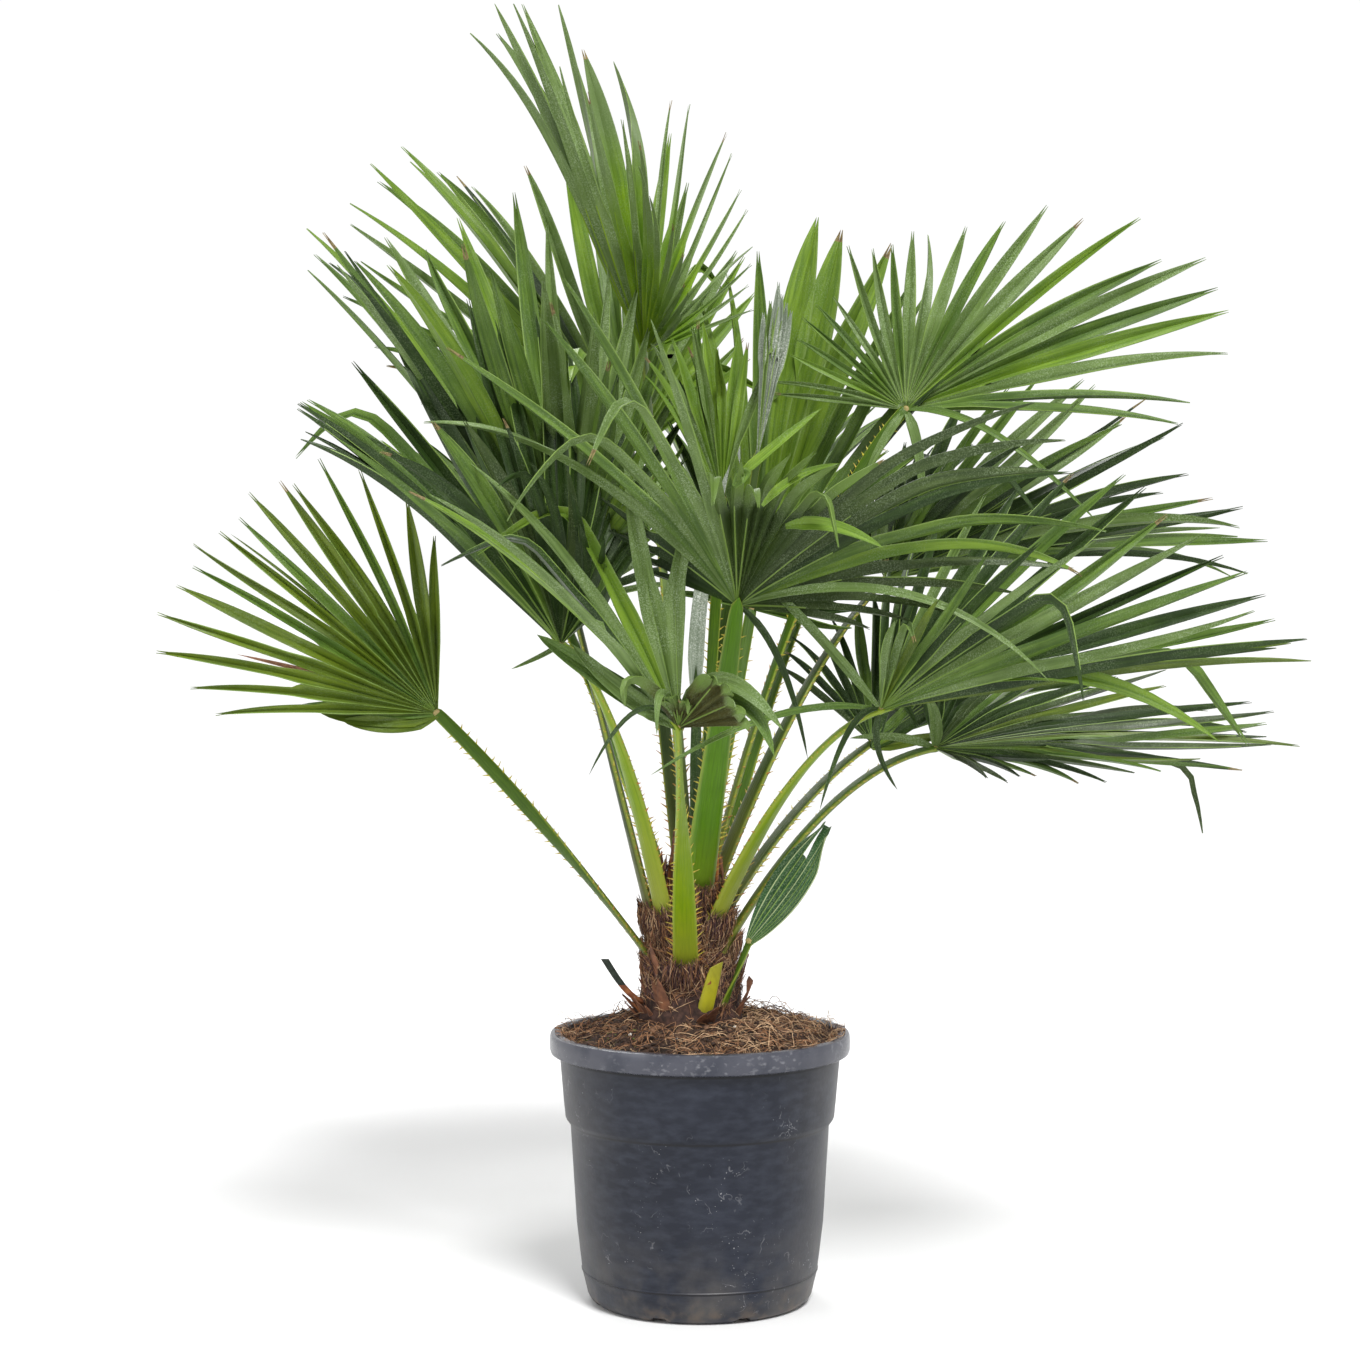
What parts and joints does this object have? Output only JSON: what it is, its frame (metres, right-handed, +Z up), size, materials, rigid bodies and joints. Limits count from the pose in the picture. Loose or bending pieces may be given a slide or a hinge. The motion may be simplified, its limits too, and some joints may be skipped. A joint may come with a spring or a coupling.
{
  "type": "potted european fan palm",
  "caption": "Fan palm in a round nursery pot: a short fibrous trunk, spiny stalks and pleated fan leaves split into long leaflets.",
  "frame": {"origin": "centre of the pot's flat underside, on the floor", "axes": "+Z up along the pot's axis; the pictured side faces -Y, and +X is to the right in the picture"},
  "size_m": [1.1075, 1.0857, 1.297],
  "materials": {
    "pot": "matte, scuffed",
    "soil": "rough, loose",
    "trunk_fibre": "matte, fibrous",
    "stub": "matte",
    "stalk": "satin",
    "leaf": "satin, waxy",
    "leaf_spear": "matte, downy"
  },
  "bodies": {
    "root": {"pot": "pot", "soil": "soil", "trunk": "trunk_fibre", "stub_cut": "stub", "stub_left": "stub", "stalk_g": "stalk", "stalk_j": "stalk", "stalk_d": "stalk", "stalk_e": "stalk", "stalk_a": "stalk", "stalk_h": "stalk", "stalk_f": "stalk", "stalk_c": "stalk", "stalk_k": "stalk", "stalk_b": "stalk", "stalk_i": "stalk", "stalk_o": "stalk", "stalk_n": "stalk", "stalk_l": "stalk", "stalk_p": "stalk", "stalk_q": "stalk", "stalk_r": "stalk", "stalk_spear": "stalk", "stalk_young": "stalk", "blade_g": "leaf", "blade_j": "leaf", "blade_d": "leaf", "blade_e": "leaf", "blade_a": "leaf", "blade_h": "leaf", "blade_f": "leaf", "blade_c": "leaf", "blade_k": "leaf", "blade_b": "leaf", "blade_i": "leaf", "blade_o": "leaf", "blade_n": "leaf", "blade_l": "leaf", "blade_p": "leaf", "blade_q": "leaf", "blade_r": "leaf", "blade_spear": "leaf_spear", "blade_young": "leaf"}
  },
  "joints": []
}
